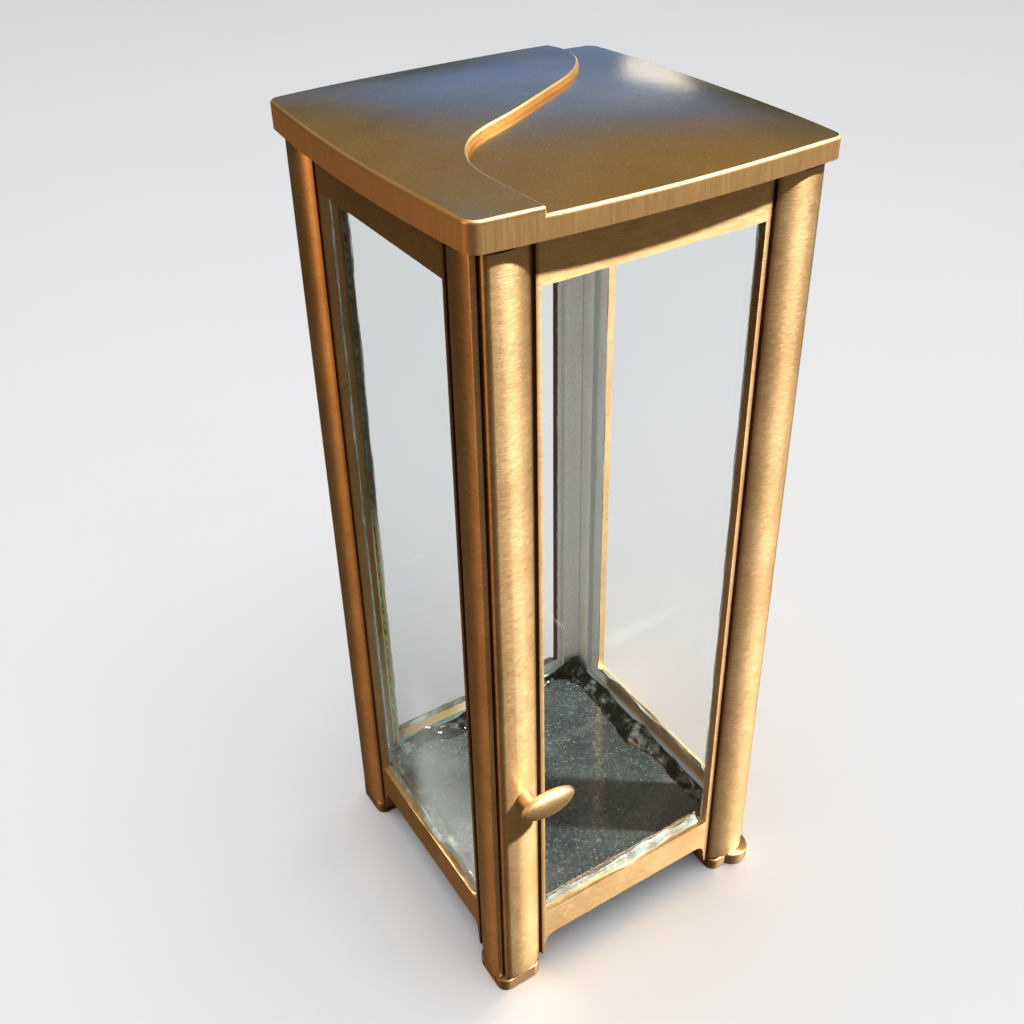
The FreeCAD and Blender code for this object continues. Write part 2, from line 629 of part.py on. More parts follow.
def screw(seat, direction, length, radius=SCREW_RADIUS, head=SCREW_HEAD, head_depth=SCREW_HEAD_DEPTH):
    """A pan-head screw with a cross recess: its head's underside is at seat."""
    back = V(*direction).multiply(-1)
    body = rod(radius, length, seat, direction).fuse(rod(head, head_depth, seat, back))
    face = seat + V(*back).multiply(head_depth)
    across = V(0, 0, 1) if abs(direction.z) < 0.5 else V(1, 0, 0)
    other = direction.cross(across)
    for way in (across, other):
        half = head * RECESS_REACH
        width = head * RECESS_WIDTH
        side = direction.cross(way)
        corner = face - V(*way).multiply(half) - V(*side).multiply(width / 2)
        slot = Part.makePolygon([corner, corner + V(*way).multiply(2 * half),
                                 corner + V(*way).multiply(2 * half) + V(*side).multiply(width),
                                 corner + V(*side).multiply(width), corner])
        body = body.cut(Part.Face(slot).extrude(V(*direction).multiply(head_depth * RECESS_DEPTH)))
    return body


def wall_screws(z, seat_depth, length):
    """One screw through each upright leg or block into the stile beside it."""
    screws = []
    for sx, sy in CORNERS.values():
        for wall, side in corner_walls(sx, sy):
            x = wall_screw_x(side, is_front_end(wall, side))
            screws.append(turned(screw(V(x, -INNER_FACE + seat_depth, z), V(0, -1, 0), length), wall))
    return Part.makeCompound(screws)


def roof_screws():
    return Part.makeCompound([screw(V(x, y, ROOF_BOTTOM - BRACKET_THICK), UP, ROOF_SCREW_LENGTH)
                              for x, y in roof_screw_places()])


def foot_screws():
    seat = V(0, 0, SCREW_HEAD_DEPTH + FOOT_HEAD_RECESS)
    return Part.makeCompound([screw(foot_screw_base(sx, sy) + seat, UP, FOOT_SCREW_LENGTH)
                              for sx, sy in CORNERS.values()])


def keeper_screw():
    seat = V(KEEPER_THICK - INNER_FACE, KEEPER_SCREW_IN - KEEPER_FACE, keeper_screw_z())
    return screw(seat, V(-1, 0, 0), KEEPER_SCREW_LENGTH)


# ---------------------------------------------------------------- export

def export_node(name, shape):
    shape.translate(V(0, SHIFT_Y, 0))
    shape.exportStep(f"parts/{name}.step")


def build():
    os.makedirs("parts", exist_ok=True)
    export_node("roof_cap", roof_cap())
    export_node("left_frame", side_frame("left"))
    export_node("back_frame", back_frame())
    export_node("right_frame", side_frame("right"))
    export_node("door_frame", door_frame())
    for wall in TURN:
        export_node(f"{wall}_glass", pane(wall))
        export_node(f"{wall}_glass_bead", pane_bead(wall))
    export_node("floor_bead", floor_bead())
    export_node("base_plate", base_plate())
    for corner, (sx, sy) in CORNERS.items():
        name = "hinge_foot" if corner == "front_right" else f"{corner}_foot"
        export_node(name, foot(sx, sy))
    export_node("lower_blocks", lower_blocks())
    export_node("upper_brackets", upper_brackets())
    export_node("block_screws", wall_screws(block_screw_z(), BRACKET_THICK, WALL_SCREW_LENGTH))
    export_node("bracket_screws", wall_screws(bracket_screw_z(), BRACKET_THICK, WALL_SCREW_LENGTH))
    export_node("roof_screws", roof_screws())
    export_node("foot_screws", foot_screws())
    export_node("lower_hinge_pin", lower_hinge_pin())
    export_node("upper_hinge_pin", upper_hinge_pin())
    export_node("hinge_washer", hinge_washer())
    export_node("knob", knob())
    export_node("knob_clip", knob_clip())
    export_node("latch_cam", latch_cam())
    export_node("cam_screw", cam_screw())
    export_node("latch_keeper", latch_keeper())
    export_node("keeper_screw", keeper_screw())


build()
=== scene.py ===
import bpy
import bmesh
import json
import math
from mathutils import Euler, Matrix, Vector, noise


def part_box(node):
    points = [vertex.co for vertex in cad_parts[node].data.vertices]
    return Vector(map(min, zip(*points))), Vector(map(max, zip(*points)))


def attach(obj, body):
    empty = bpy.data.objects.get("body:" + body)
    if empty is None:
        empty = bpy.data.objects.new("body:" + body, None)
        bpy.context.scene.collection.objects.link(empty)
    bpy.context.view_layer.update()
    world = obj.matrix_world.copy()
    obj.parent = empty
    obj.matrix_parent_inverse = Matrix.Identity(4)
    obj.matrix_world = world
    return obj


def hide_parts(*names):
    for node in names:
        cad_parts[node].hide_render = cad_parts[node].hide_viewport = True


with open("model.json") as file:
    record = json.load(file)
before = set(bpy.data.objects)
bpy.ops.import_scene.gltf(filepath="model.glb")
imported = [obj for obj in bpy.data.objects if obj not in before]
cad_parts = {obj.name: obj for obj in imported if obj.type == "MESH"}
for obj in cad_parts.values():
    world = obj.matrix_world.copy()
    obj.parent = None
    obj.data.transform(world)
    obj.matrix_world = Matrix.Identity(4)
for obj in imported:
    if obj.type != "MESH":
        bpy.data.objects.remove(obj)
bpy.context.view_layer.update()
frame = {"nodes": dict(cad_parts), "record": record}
nodes = frame["nodes"]

# Sizes, in metres
MM = 0.001
GLASS_EDGE_ROUND = 0.4 * MM
GROOVE_MIDDLE = 47.8 * MM
INNER_PLANE = 60 * MM
WALL_TURN = {"door": 0, "right": 90, "back": 180, "left": -90}
WINDOW_HALF = 45 * MM
BACK_WINDOW_HALF = 49 * MM
WINDOW_BOTTOM = 36 * MM
WINDOW_TOP = 334 * MM
PANE_FACE = 63.2 * MM
AXIS_Y = sum(corner[1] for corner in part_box("back_glass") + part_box("door_glass")) / 4

# Where the camera stands, and how it is turned
CAMERA_PLACE = (-0.2263, -0.3411, 0.4887)
CAMERA_TURN = (57.117, 1.154, -32.114)
LENS_MM = 42.25
SHIFT = (0.0015, -0.0578)

# Silicone squeezed out along a window's lip: its height up the pane, and how far it stands proud
SQUEEZE = {"bottom": (3.2 * MM, 1.5 * MM), "side": (0.5 * MM, 0.5 * MM), "top": (0.5 * MM, 0.5 * MM)}
FLOOR_BEAD = (5.4 * MM, 4.4 * MM)
BEAD_STEP = 1.2 * MM
MILK = (0.30, 0.34, 0.33, 1)

# A pale translucent film low on the left pane, a painted reflection of the sky there: its colour, and how much of
# the view it takes at most
PAINTED_REFLECTION = (0.78, 0.86, 0.82, 1)
PAINTED_REFLECTION_MOST = 0.15

# The sun: azimuth from the door's normal towards +X, elevation, and its apparent size in degrees
SUN_AZIMUTH = 53
SUN_ELEVATION = 48
SUN_SIZE = 3
SUN_POWER = 12.0

# What the metal mirrors: the glowing ground before the lantern and, in painted shadow, behind it, and the sky from
# level to overhead
GROUND_DARK = (0.050, 0.028, 0.015, 1)
GROUND_LIT = (0.22, 0.18, 0.14, 1)
SKY_LEVEL = (0.05, 0.07, 0.04, 1)
SKY_HIGH = (0.34, 0.28, 0.15, 1)

# A patch of blue in that sky: its colour, its azimuth and elevation, and where it starts and is full, in degrees
BLUE = (0.18, 0.35, 0.82, 1)
BLUE_PLACE = (147, 14)
BLUE_REACH = (15, 8)


# ---------------------------------------------------------------- node helpers

class Maker:
    """A material's node tree, with short calls for the nodes that the materials share."""

    def __init__(self, name):
        self.material = bpy.data.materials.new(name)
        self.material.use_nodes = True
        self.tree = self.material.node_tree
        self.tree.nodes.clear()
        self.output = self.add("ShaderNodeOutputMaterial")
        where = self.add("ShaderNodeTexCoord")
        self.place = where.outputs["Object"]
        self.direction = where.outputs["Normal"]

    def add(self, kind, **values):
        """A node. A value whose name is an input sets that input, or links it if it is a socket."""
        node = self.tree.nodes.new(kind)
        for name, value in values.items():
            key = name.replace("_", " ")
            if key.title() in node.inputs:
                key = key.title()
            if key in node.inputs:
                self.feed(node.inputs[key], value)
            else:
                setattr(node, name, value)
        return node

    def feed(self, socket, value):
        if isinstance(value, bpy.types.NodeSocket):
            self.tree.links.new(value, socket)
        else:
            socket.default_value = value

    def stretched(self, scale, turn=(0, 0, 0)):
        """The object's own coordinates, scaled differently along each axis, per metre."""
        mapping = self.add("ShaderNodeMapping", Vector=self.place, Scale=scale)
        mapping.inputs["Rotation"].default_value = turn
        return mapping.outputs["Vector"]

    def noise(self, scale, detail=3.0, rough=0.6, vector=None):
        node = self.add("ShaderNodeTexNoise", Vector=vector or self.place, Scale=scale, Detail=detail)
        node.inputs["Roughness"].default_value = rough
        return node.outputs["Fac"]

    def span(self, value, low, high, to_low=0.0, to_high=1.0):
        """value, moved from the range low to high onto another range, and held inside it."""
        node = self.add("ShaderNodeMapRange")
        self.feed(node.inputs["Value"], value)
        for name, number in (("From Min", low), ("From Max", high), ("To Min", to_low), ("To Max", to_high)):
            self.feed(node.inputs[name], number)
        return node.outputs["Result"]

    def math(self, operation, a, b=0.0):
        node = self.add("ShaderNodeMath", operation=operation)
        self.feed(node.inputs[0], a)
        self.feed(node.inputs[1], b)
        return node.outputs["Value"]

    def mix(self, factor, a, b, blend="MIX"):
        node = self.add("ShaderNodeMix", data_type="RGBA", blend_type=blend)
        self.feed(node.inputs["Factor"], factor)
        self.feed(node.inputs["A"], a)
        self.feed(node.inputs["B"], b)
        return node.outputs["Result"]

    def mix_number(self, factor, a, b):
        node = self.add("ShaderNodeMix", data_type="FLOAT")
        for name, value in (("Factor", factor), ("A", a), ("B", b)):
            self.feed(node.inputs[name], value)
        return node.outputs["Result"]

    def from_axis(self):
        """How far a place is from the lantern's upright axis along X and along Y, and its height."""
        split = self.add("ShaderNodeSeparateXYZ", Vector=self.centred())
        return (self.math("ABSOLUTE", split.outputs["X"]), self.math("ABSOLUTE", split.outputs["Y"]),
                split.outputs["Z"])

    def centred(self):
        node = self.add("ShaderNodeVectorMath", operation="SUBTRACT")
        self.feed(node.inputs[0], self.place)
        self.feed(node.inputs[1], (0, AXIS_Y, 0))
        return node.outputs["Vector"]

    def outward(self):
        """The distance of an upright face's plane from the axis: below zero where it faces inwards."""
        node = self.add("ShaderNodeVectorMath", operation="DOT_PRODUCT")
        self.feed(node.inputs[0], self.centred())
        level = self.add("ShaderNodeVectorMath", operation="MULTIPLY")
        self.feed(level.inputs[0], self.direction)
        self.feed(level.inputs[1], (1, 1, 0))
        self.feed(node.inputs[1], level.outputs["Vector"])
        return node.outputs["Value"]

    def facing_up(self):
        return self.add("ShaderNodeSeparateXYZ", Vector=self.direction).outputs["Z"]

    def outer_gloss(self, ior, normal=None):
        """Fresnel gloss on the faces that look outwards, and none on the way back out of the piece."""
        node = self.add("ShaderNodeFresnel")
        node.inputs["IOR"].default_value = ior
        if normal is not None:
            self.feed(node.inputs["Normal"], normal)
        behind = self.add("ShaderNodeNewGeometry").outputs["Backfacing"]
        return self.math("MULTIPLY", node.outputs["Fac"], self.math("SUBTRACT", 1.0, behind))

    def over(self, under, top, factor):
        """One shader over another, by factor."""
        node = self.add("ShaderNodeMixShader")
        self.feed(node.inputs[0], factor)
        self.feed(node.inputs[1], under.outputs[0])
        self.feed(node.inputs[2], top.outputs[0])
        return node.outputs["Shader"]

    def bump(self, height, strength, distance, normal=None):
        node = self.add("ShaderNodeBump", Height=height, Strength=strength, Distance=distance)
        if normal is not None:
            self.feed(node.inputs["Normal"], normal)
        return node.outputs["Normal"]

    def finish(self, shader):
        self.tree.links.new(shader, self.output.inputs["Surface"])
        return self.material


def colour(red, green, blue):
    """A linear colour from screen values of 0 to 255."""
    def linear(value):
        value /= 255
        return value / 12.92 if value <= 0.04045 else ((value + 0.055) / 1.055) ** 2.4
    return (linear(red), linear(green), linear(blue), 1.0)


# ---------------------------------------------------------------- materials

def metal(make, roughness, stretch=0.0):
    """A metal surface, whose gloss spreads across its brushing by stretch."""
    surface = make.add("ShaderNodeBsdfPrincipled", Metallic=1.0)
    make.feed(surface.inputs["Roughness"], roughness)
    if stretch:
        around = make.add("ShaderNodeTangent", direction_type="RADIAL", axis="Z")
        surface.inputs["Anisotropic"].default_value = stretch
        surface.inputs["Anisotropic Rotation"].default_value = 0.25
        make.feed(surface.inputs["Tangent"], around.outputs["Tangent"])
    return surface


def frame_bronze():
    """Brushed bronze of the walls: brown in the grooves from painted shade and patina, darker towards the bottom,
    and inside on the sunny side a pale grey patch of painted light.
    """
    make = Maker("bronze_frames")
    across, along, up = make.from_axis()
    lines = make.noise(1.0, 4.0, 0.7, make.stretched((150, 150, 2300)))
    fine = make.noise(1.0, 3.0, 0.7, make.stretched((300, 300, 5200)))
    tarnish = make.noise(34.0, 5.0, 0.6)
    crumbs = make.noise(1500.0, 2.0, 0.5)
    body = make.mix(make.span(tarnish, 0.32, 0.68), colour(206, 166, 114), colour(234, 198, 146))
    body = make.mix(make.span(lines, 0.44, 0.70, 0.0, 0.38), body, colour(140, 98, 58))
    body = make.mix(make.span(fine, 0.54, 0.72, 0.0, 0.45), body, colour(255, 234, 190))
    body = make.mix(make.span(crumbs, 0.62, 0.70, 0.0, 0.45), body, colour(255, 232, 184))
    # Painted shade with patina: darker brown close to the groove line, both for the shade that falls in the groove
    # and for the patina in it.
    near = make.math("ABSOLUTE", make.math("SUBTRACT", make.math("MINIMUM", across, along), GROOVE_MIDDLE))
    body = make.mix(make.span(near, 0.8 * MM, 2.6 * MM, 0.72, 0.0), body, colour(96, 62, 32))
    # Darker brown towards the bottom, fading out between about 12 and 24 mm up, along a wandering edge.
    low_darkening = make.math("ADD", up, make.math("MULTIPLY", tarnish, 14 * MM))
    body = make.mix(make.span(low_darkening, 12 * MM, 24 * MM, 0.45, 0.0), body, colour(120, 82, 46))
    # Painted light: a pale grey, non-metal patch on the inner faces at the back on the sunny side stands in for
    # the bright light seen in that inner corner.
    painted_light_grey = make.mix(make.span(crumbs, 0.35, 0.65), colour(226, 227, 222), colour(250, 250, 246))
    split = make.add("ShaderNodeSeparateXYZ", Vector=make.place)
    sunny = make.span(split.outputs["X"], -20 * MM, 10 * MM)
    deep = make.span(split.outputs["Y"], 38 * MM, 43 * MM)
    inside = make.math("MULTIPLY", make.math("LESS_THAN", make.outward(), -INNER_PLANE), sunny)
    inside = make.math("MULTIPLY", inside, deep)
    body = make.mix(make.math("MULTIPLY", inside, make.span(tarnish, 0.25, 0.55, 0.75, 0.95)), body, painted_light_grey)
    polish = make.span(fine, 0.3, 0.7, 0.36, 0.52)
    surface = metal(make, make.math("ADD", polish, make.math("MULTIPLY", inside, 0.12)), 0.8)
    make.feed(surface.inputs["Metallic"], make.math("SUBTRACT", 1.0, inside))
    make.feed(surface.inputs["Base Color"], body)
    ripple = make.math("ADD", make.math("MULTIPLY", lines, 0.6), make.math("MULTIPLY", fine, 0.4))
    first = make.bump(ripple, 0.15, 0.10 * MM)
    make.feed(surface.inputs["Normal"], make.bump(crumbs, 0.08, 0.06 * MM, first))
    return make.finish(surface.outputs["BSDF"])


def roof_bronze():
    """The cast roof: polished and flecked on top, brushed upright round its rim."""
    make = Maker("bronze_roof")
    step = make.span(make.from_axis()[2], 360.6 * MM, 361.4 * MM, 0.0, 0.35)
    level = make.math("MAXIMUM", make.span(make.facing_up(), 0.86, 0.975), step)
    strokes = make.noise(1.0, 4.0, 0.7, make.stretched((4200, 4200, 60)))
    cloud = make.noise(24.0, 5.0, 0.6)
    flecks = make.noise(1500.0, 2.0, 0.5)
    top = make.mix(make.span(cloud, 0.3, 0.7), colour(200, 162, 106), colour(218, 182, 126))
    top = make.mix(make.span(flecks, 0.62, 0.70, 0.0, 0.60), top, colour(255, 236, 190))
    rim = make.mix(make.span(strokes, 0.34, 0.68), colour(204, 162, 110), colour(226, 188, 134))
    surface = metal(make, make.mix_number(level, make.span(strokes, 0.3, 0.7, 0.50, 0.60),
                                          make.span(cloud, 0.3, 0.7, 0.18, 0.24)))
    make.feed(surface.inputs["Base Color"], make.mix(level, rim, top))
    grain = make.mix_number(level, strokes, flecks)
    make.feed(surface.inputs["Normal"], make.bump(grain, 0.10, 0.07 * MM))
    return make.finish(surface.outputs["BSDF"])


def knob_bronze():
    """The knob's satin bronze, fine as emery."""
    make = Maker("bronze_knob")
    grit = make.noise(2600.0, 3.0, 0.6)
    cloud = make.noise(120.0, 4.0, 0.6)
    body = make.mix(make.span(cloud, 0.3, 0.7), colour(212, 174, 120), colour(242, 208, 156))
    body = make.mix(make.span(grit, 0.56, 0.70, 0.0, 0.5), body, colour(255, 240, 200))
    surface = metal(make, make.span(grit, 0.3, 0.7, 0.44, 0.56))
    make.feed(surface.inputs["Base Color"], body)
    make.feed(surface.inputs["Normal"], make.bump(grit, 0.12, 0.05 * MM))
    return make.finish(surface.outputs["BSDF"])


def steel():
    make = Maker("stainless_steel")
    scratches = make.noise(1.0, 4.0, 0.7, make.stretched((300, 300, 4000)))
    surface = metal(make, make.span(scratches, 0.3, 0.7, 0.24, 0.42))
    make.feed(surface.inputs["Base Color"], make.mix(scratches, colour(120, 118, 112), colour(205, 204, 200)))
    make.feed(surface.inputs["Normal"], make.bump(scratches, 0.1, 0.05 * MM))
    return make.finish(surface.outputs["BSDF"])


def floor_plate():
    """Glossy slate-dark plate, with pale dust, smears and a fine dimple."""
    make = Maker("floor_plate")
    cloud = make.noise(26.0, 5.0, 0.65)
    dust = make.noise(1500.0, 3.0, 0.65)
    pits = make.noise(420.0, 3.0, 0.5)
    smear = make.noise(1.0, 4.0, 0.6, make.stretched((18, 60, 60), (0, 0, 0.6)))
    body = make.mix(make.span(cloud, 0.35, 0.65), colour(26, 33, 36), colour(50, 58, 58))
    body = make.mix(make.span(smear, 0.50, 0.72, 0.0, 0.4), body, colour(92, 90, 80))
    body = make.mix(make.span(dust, 0.60, 0.70, 0.0, 0.65), body, colour(186, 190, 180))
    surface = make.add("ShaderNodeBsdfPrincipled")
    surface.inputs["Coat Weight"].default_value = 0.4
    surface.inputs["Coat Roughness"].default_value = 0.08
    make.feed(surface.inputs["Base Color"], body)
    make.feed(surface.inputs["Roughness"], make.span(pits, 0.3, 0.7, 0.18, 0.34))
    make.feed(surface.inputs["Normal"], make.bump(pits, 0.05, 0.1 * MM))
    return make.finish(surface.outputs["BSDF"])


def clear_glass():
    """A flat pane: what is behind shows straight through, under a faint tint and a mirror of the room."""
    make = Maker("clear_glass")
    smear = make.noise(9.0, 3.0, 0.55)
    see = make.add("ShaderNodeBsdfTransparent")
    tint = make.mix(make.span(smear, 0.3, 0.7), (0.975, 0.985, 0.985, 1), (0.99, 0.995, 0.995, 1))
    make.feed(see.inputs["Color"], tint)
    # Painted reflection: a pale translucent film low on the left pane stands in for the sky mirrored there.
    painted_reflection = make.add("ShaderNodeBsdfTranslucent")
    painted_reflection.inputs["Color"].default_value = PAINTED_REFLECTION
    split = make.add("ShaderNodeSeparateXYZ", Vector=make.place)
    on_left = make.span(split.outputs["X"], -62 * MM, -58 * MM, 1.0, 0.0)
    low_down = make.span(split.outputs["Z"], 60 * MM, 130 * MM, PAINTED_REFLECTION_MOST, 0.0)
    with_painted_reflection = make.add("ShaderNodeMixShader")
    for index, value in enumerate((make.math("MULTIPLY", on_left, low_down), see.outputs[0], painted_reflection.outputs[0])):
        make.feed(with_painted_reflection.inputs[index], value)
    mirror = make.add("ShaderNodeBsdfGlossy")
    mirror.inputs["Roughness"].default_value = 0.03
    return make.finish(make.over(with_painted_reflection, mirror, make.outer_gloss(1.45)))


def glass_edge():
    """The ground edge of a pane, painted as if light that has run through the sheet comes out turquoise: brighter
    lower down, duller along the bottom edges, pale grey on the right, and glowing by emission.
    """
    make = Maker("glass_edge")
    split = make.add("ShaderNodeSeparateXYZ", Vector=make.place)
    wobble = make.noise(1.0, 4.0, 0.7, make.stretched((70, 70, 500)))
    low_down = make.span(split.outputs["Z"], 0.05, 0.30, 1.0, 0.25)
    turquoise = make.mix(make.span(wobble, 0.40, 0.60), colour(10, 46, 44), colour(120, 214, 206))
    turquoise = make.mix(low_down, colour(12, 44, 40), turquoise)
    upright = make.span(split.outputs["Z"], 34 * MM, 40 * MM)
    turquoise = make.mix(upright, colour(40, 84, 78), turquoise)
    body = make.mix(make.span(split.outputs["X"], -0.02, 0.02), turquoise, colour(158, 168, 164))
    surface = make.add("ShaderNodeBsdfPrincipled")
    surface.inputs["Roughness"].default_value = 0.15
    # Painted light: the edge glows by emission in its own colour, though it is no lamp.
    surface.inputs["Emission Strength"].default_value = 0.22
    make.feed(surface.inputs["Base Color"], body)
    make.feed(surface.inputs["Emission Color"], body)
    make.feed(surface.inputs["Normal"], make.bump(wobble, 0.5, 0.3 * MM))
    return make.finish(surface.outputs["BSDF"])


def silicone(name, tint, milk_most, through):
    """Clear sealant: wet gloss over a tint, milky where it is thick."""
    make = Maker(name)
    ripple = make.noise(210.0, 3.0, 0.5)
    milk = make.noise(120.0, 3.0, 0.6)
    bumped = make.bump(ripple, 0.8, 1.0 * MM)
    see = make.add("ShaderNodeBsdfTransparent")
    see.inputs["Color"].default_value = through
    shine = make.add("ShaderNodeBsdfPrincipled")
    make.feed(shine.inputs["Base Color"], make.mix(make.span(milk, 0.50, 0.75, 0.0, 0.6), tint, MILK))
    shine.inputs["Roughness"].default_value = 0.10
    shine.inputs["Specular IOR Level"].default_value = 0.8
    shine.inputs["Coat Weight"].default_value = 1.0
    make.feed(shine.inputs["Normal"], bumped)
    cloudy = make.span(milk, 0.40, 0.66, 0.25, milk_most)
    gloss = make.math("ADD", make.outer_gloss(1.5, bumped), cloudy)
    return make.finish(make.over(see, shine, gloss))


def pale_floor():
    """The studio floor. Mirrored in the metal it is a glowing, darker, warm ground, darkest behind the lantern as
    a painted shadow.
    """
    make = Maker("pale_floor")
    tone = make.noise(3.0, 3.0, 0.5)
    surface = make.add("ShaderNodeBsdfPrincipled")
    make.feed(surface.inputs["Base Color"], make.mix(tone, (0.78, 0.78, 0.775, 1), (0.82, 0.82, 0.815, 1)))
    surface.inputs["Roughness"].default_value = 0.7
    split = make.add("ShaderNodeSeparateXYZ", Vector=make.place)
    toward_light = make.math("SUBTRACT", make.math("MULTIPLY", split.outputs["X"], 0.8),
                             make.math("MULTIPLY", split.outputs["Y"], 0.6))
    ground = make.mix(make.span(toward_light, -0.15, 0.35), GROUND_DARK, GROUND_LIT)
    mirrored = make.add("ShaderNodeEmission")
    make.feed(mirrored.inputs["Color"], ground)
    ray = make.add("ShaderNodeLightPath")
    return make.finish(make.over(surface, mirrored, ray.outputs["Is Glossy Ray"]))


# ---------------------------------------------------------------- pieces

def repaint(node, material):
    """Gives a CAD node, whose shape stays, its finished material."""
    mesh = nodes[node].data
    mesh.materials.clear()
    mesh.materials.append(material)


def new_piece(name, build, materials, body, stands_for, smooth_below=40):
    """A piece whose mesh build() makes, riding on a body in place of a CAD node."""
    mesh = bpy.data.meshes.new(name)
    shape = bmesh.new()
    build(shape)
    shape.to_mesh(mesh)
    shape.free()
    for material in materials:
        mesh.materials.append(material)
    mesh.set_sharp_from_angle(angle=math.radians(smooth_below))
    mesh.polygons.foreach_set("use_smooth", [True] * len(mesh.polygons))
    piece = bpy.data.objects.new(name, mesh)
    bpy.context.scene.collection.objects.link(piece)
    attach(piece, body)
    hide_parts(stands_for)
    return piece


def pane(wall, body, clear, edge):
    """A glass pane with small ground bevels: clear on its two faces, turquoise on its edges."""
    node = wall + "_glass"
    low, high = (Vector(corner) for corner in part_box(node))
    thin = min(range(2), key=lambda axis: high[axis] - low[axis])

    def build(shape):
        bmesh.ops.create_cube(shape, size=1.0)
        for vertex in shape.verts:
            for axis in range(3):
                vertex.co[axis] = low[axis] if vertex.co[axis] < 0 else high[axis]
        bmesh.ops.bevel(shape, geom=shape.edges[:], offset=GLASS_EDGE_ROUND, segments=2, affect="EDGES")
        for face in shape.faces:
            face.material_index = 0 if abs(face.normal[thin]) > 0.99 else 1

    piece = new_piece(node + "_pane", build, [clear, edge], body, node)
    return piece


def bead(name, path, body, node, material, seed, closed=False):
    """A hand-laid run of sealant in a corner. Each point of path is a place, the way across, the way up,
    and the bead's width and height there; both wander as they go."""
    rows = list(resampled(path))
    arc_steps = 7

    def build(shape):
        rings = []
        for index, (spot, across, up, width, height) in enumerate(rows):
            wide = width * (0.30 + 1.4 * wander(spot, seed))
            tall = height * (0.30 + 1.4 * wander(spot, seed + 11))
            ends = len(rows) if closed else min(index, len(rows) - 1 - index)
            taper = min(1.0, 0.3 + 0.25 * ends)
            ring = [shape.verts.new(spot)]
            for step in range(arc_steps + 1):
                turn = math.pi / 2 * step / arc_steps
                bulge = 0.80 + 0.20 * abs(math.cos(2 * turn))
                ring.append(shape.verts.new(spot + across * (wide * taper * bulge * math.cos(turn))
                                            + up * (tall * taper * bulge * math.sin(turn))))
            rings.append(ring)
        for here, there in zip(rings, rings[1:] + rings[:closed]):
            for k in range(len(here)):
                after = (k + 1) % len(here)
                shape.faces.new((here[k], here[after], there[after], there[k]))
        if not closed:
            shape.faces.new(rings[0])
            shape.faces.new(rings[-1][::-1])
        bmesh.ops.recalc_face_normals(shape, faces=shape.faces[:])

    piece = new_piece(name, build, [material], body, node, 55)
    return piece


def wander(spot, seed):
    """A smooth random number from about 0 to 1, for a place along a bead."""
    slow = noise.noise(spot * 45 + Vector((0, 0, seed)))
    quick = noise.noise(spot * 120 - Vector((0, 0, seed)))
    return max(0.0, min(1.0, 0.5 + 0.9 * slow + 0.35 * quick))


def resampled(path):
    """Rows at an even spacing along a path, with everything else blended from point to point."""
    for start, end in zip(path, path[1:]):
        count = max(2, round((end[0] - start[0]).length / BEAD_STEP))
        for k in range(count):
            share = k / count
            spot, across, up, width, height = (a + (b - a) * share for a, b in zip(start, end))
            yield spot, across.normalized(), up.normalized(), width, height
    yield path[-1]


def window_bead(wall, body, material, seed):
    """The sealant that has crept out over the lip of a window, in the corner of lip and pane."""
    turn = Matrix.Rotation(math.radians(WALL_TURN[wall]), 3, "Z")
    axis = Vector((0, AXIS_Y, 0))
    face = -PANE_FACE
    half = BACK_WINDOW_HALF if wall == "back" else WINDOW_HALF

    def point(x, z, inward, kind):
        height, depth = SQUEEZE[kind]
        place = axis + turn @ Vector((x, face, z))
        return place, turn @ Vector((0, -1, 0)), turn @ Vector(inward), depth, height

    low, high = WINDOW_BOTTOM, WINDOW_TOP
    path = [point(0, low, (0, 0, 1), "bottom"), point(half - 4 * MM, low, (0, 0, 1), "bottom"),
            point(half, low, (-1, 0, 1), "side"), point(half, low + 4 * MM, (-1, 0, 0), "side"),
            point(half, high - 4 * MM, (-1, 0, 0), "side"), point(half, high, (-1, 0, -1), "top"),
            point(-half, high, (1, 0, -1), "top"), point(-half, high - 4 * MM, (1, 0, 0), "side"),
            point(-half, low + 4 * MM, (1, 0, 0), "side"), point(-half, low, (1, 0, 1), "side"),
            point(4 * MM - half, low, (0, 0, 1), "bottom"), point(-BEAD_STEP, low, (0, 0, 1), "bottom")]
    piece = bead(wall + "_window_bead", path, body, wall + "_glass_bead", material, seed, closed=True)
    return piece


def floor_bead(material):
    """The thick wet bead where the floor plate meets the three fixed panes, with its blobs."""
    low, high = (Vector(corner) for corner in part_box("floor_bead"))
    width, height = FLOOR_BEAD

    def point(x, y, across, size=1.0):
        return Vector((x, y, low.z)), Vector(across), Vector((0, 0, 1)), width * size, height * size

    turn_in = 7 * MM
    path = [point(low.x, low.y, (1, 0, 0), 0.8), point(low.x, 0, (1, 0, 0), 1.0),
            point(low.x, high.y - turn_in, (1, 0, 0), 1.1), point(low.x, high.y, (1, -1, 0), 1.3),
            point(low.x + turn_in, high.y, (0, -1, 0), 1.0), point(high.x - 3 * turn_in, high.y, (0, -1, 0), 0.8),
            point(high.x - turn_in, high.y, (0, -1, 0), 1.2), point(high.x, high.y, (-1, -1, 0), 2.0),
            point(high.x, high.y - turn_in, (-1, 0, 0), 1.9), point(high.x, high.y - 2 * turn_in, (-1, 0, 0), 1.0),
            point(high.x, 0, (-1, 0, 0), 1.2), point(high.x, low.y, (-1, 0, 0), 0.8)]
    return bead("floor_sealant", path, "lantern", "floor_bead", material, 5)


# ---------------------------------------------------------------- studio

def aimed(direction):
    return Vector(direction).to_track_quat("Z", "Y").to_euler()


def link(thing):
    bpy.context.scene.collection.objects.link(thing)
    return thing


